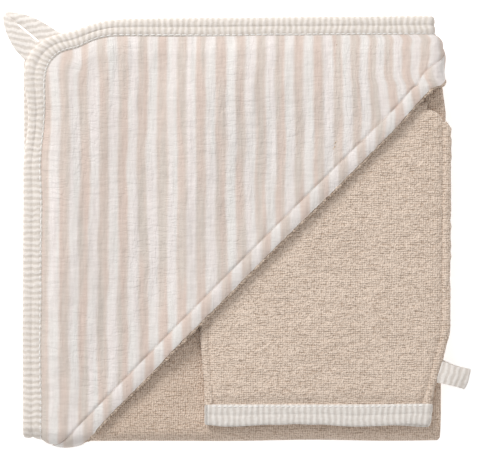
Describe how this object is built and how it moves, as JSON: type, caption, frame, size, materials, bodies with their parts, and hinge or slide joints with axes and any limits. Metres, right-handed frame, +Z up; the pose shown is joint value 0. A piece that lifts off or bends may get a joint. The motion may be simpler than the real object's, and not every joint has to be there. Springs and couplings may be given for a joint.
{
  "type": "hooded baby towel",
  "caption": "Baby towel with a muslin hood, folded flat in thirds, with a terry wash mitt tucked under the hood and a tape hanging loop.",
  "frame": {"origin": "middle of the folded packet's underside, on the plane it lies on", "axes": "+Z up, +X across the packet away from the hood's bound side edge, +Y towards the edge with the hanging loop"},
  "size_m": [0.2893, 0.2721, 0.0329],
  "materials": {
    "terry": "looped terry, matt",
    "muslin": "crinkled double gauze with woven stripes",
    "striped_binding": "finely striped woven tape",
    "thread": "sewing thread"
  },
  "bodies": {
    "bottom_third": {"towel_bottom_third": "terry", "binding_front_left": "striped_binding", "binding_front_middle": "striped_binding", "binding_front_right": "striped_binding"},
    "middle_third": {"towel_middle_third": "terry", "towel_rear_fold": "terry", "towel_front_fold": "terry", "binding_middle_left": "striped_binding", "binding_middle_right": "striped_binding"},
    "top_third": {"towel_top_third": "terry", "binding_hood_corner": "striped_binding", "binding_topstitch": "thread", "binding_top_right": "striped_binding", "binding_rear_middle": "striped_binding", "hood_lining": "terry", "hood_shell": "muslin"},
    "hood_hem": {"hood_rim": "muslin", "hood_topstitch": "thread"},
    "wash_mitt": {"mitt_back_panel": "terry", "mitt_front_panel": "terry", "mitt_side_seam": "terry", "mitt_cuff_binding": "striped_binding", "mitt_cuff_stitch": "thread"},
    "mitt_loop": {"mitt_loop": "striped_binding"},
    "hanging_loop": {"hanging_loop": "striped_binding"}
  },
  "joints": [
    {"name": "rear_fold", "type": "hinge", "parent": "bottom_third", "child": "middle_third", "pos_m": [0, 0.10505, 0.00795], "axis": [-1, 0, 0], "range_deg": [0, 180], "deforming": ["towel_rear_fold"]},
    {"name": "front_fold", "type": "hinge", "parent": "middle_third", "child": "top_third", "pos_m": [0, -0.12405, 0.01605], "axis": [1, 0, 0], "range_deg": [0, 180], "deforming": ["towel_front_fold"]},
    {"name": "hood_lift", "type": "hinge", "parent": "top_third", "child": "hood_hem", "pos_m": [-0.1215, 0.1205, 0.0264], "axis": [-0.7071, -0.7071, 0], "range_deg": [0, 13], "deforming": ["hood_shell", "hood_lining"]},
    {"name": "mitt_slide", "type": "slide", "parent": "top_third", "child": "wash_mitt", "axis": [1, 0, 0], "range_m": [0, 0.16]},
    {"name": "mitt_loop_hinge", "type": "hinge", "parent": "wash_mitt", "child": "mitt_loop", "pos_m": [0.12718, -0.0897, 0.02725], "axis": [-0.2924, -0.9563, 0], "range_deg": [0, 90]},
    {"name": "hanging_loop_hinge", "type": "hinge", "parent": "top_third", "child": "hanging_loop", "pos_m": [-0.1215, 0.1205, 0.0234], "axis": [0.7071, 0.7071, 0], "range_deg": [0, 90]}
  ],
  "couplings": [
    {"joint": "front_fold", "follows": "rear_fold", "ratio": 1}
  ]
}
